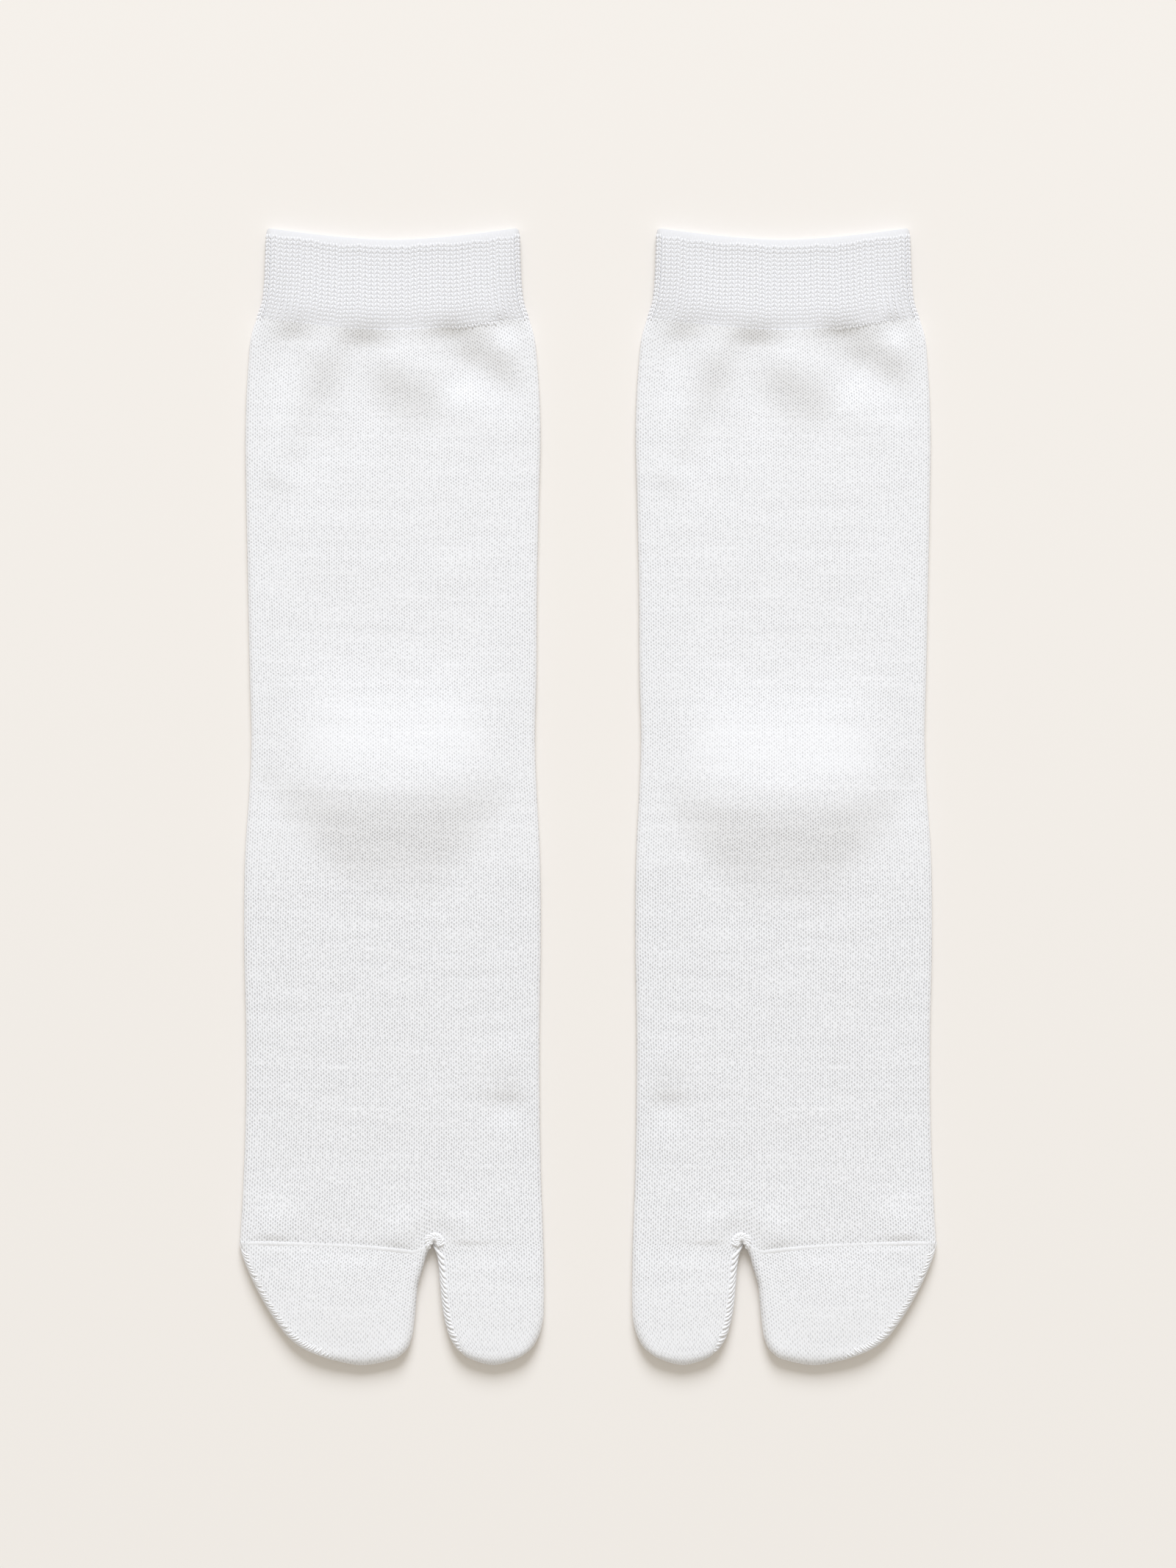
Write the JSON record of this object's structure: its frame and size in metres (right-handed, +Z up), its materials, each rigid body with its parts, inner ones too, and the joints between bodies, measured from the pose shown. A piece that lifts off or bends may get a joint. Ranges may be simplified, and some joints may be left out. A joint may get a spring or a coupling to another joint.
{
  "type": "pair of tabi socks",
  "caption": "Pair of white knitted split-toe socks laid flat side by side, each with a ribbed cuff, a shaped heel and a sewn pocket for the small toes.",
  "frame": {"origin": "on the surface that the socks lie on, midway between the two socks and midway along them", "axes": "+X across the pair towards the right sock, +Y along the socks from the toes to the cuffs, +Z up from the surface"},
  "size_m": [0.2328, 0.3801, 0.0062],
  "materials": {
    "left_cuff": "matte white cotton knit",
    "left_tube": "matte white cotton knit",
    "left_toe_pocket": "matte white cotton knit",
    "right_cuff": "matte white cotton knit",
    "right_tube": "matte white cotton knit",
    "right_toe_pocket": "matte white cotton knit"
  },
  "bodies": {
    "root": {"left_cuff": "left_cuff", "left_tube": "left_tube", "left_toe_pocket": "left_toe_pocket", "right_cuff": "right_cuff", "right_tube": "right_tube", "right_toe_pocket": "right_toe_pocket"}
  },
  "joints": []
}
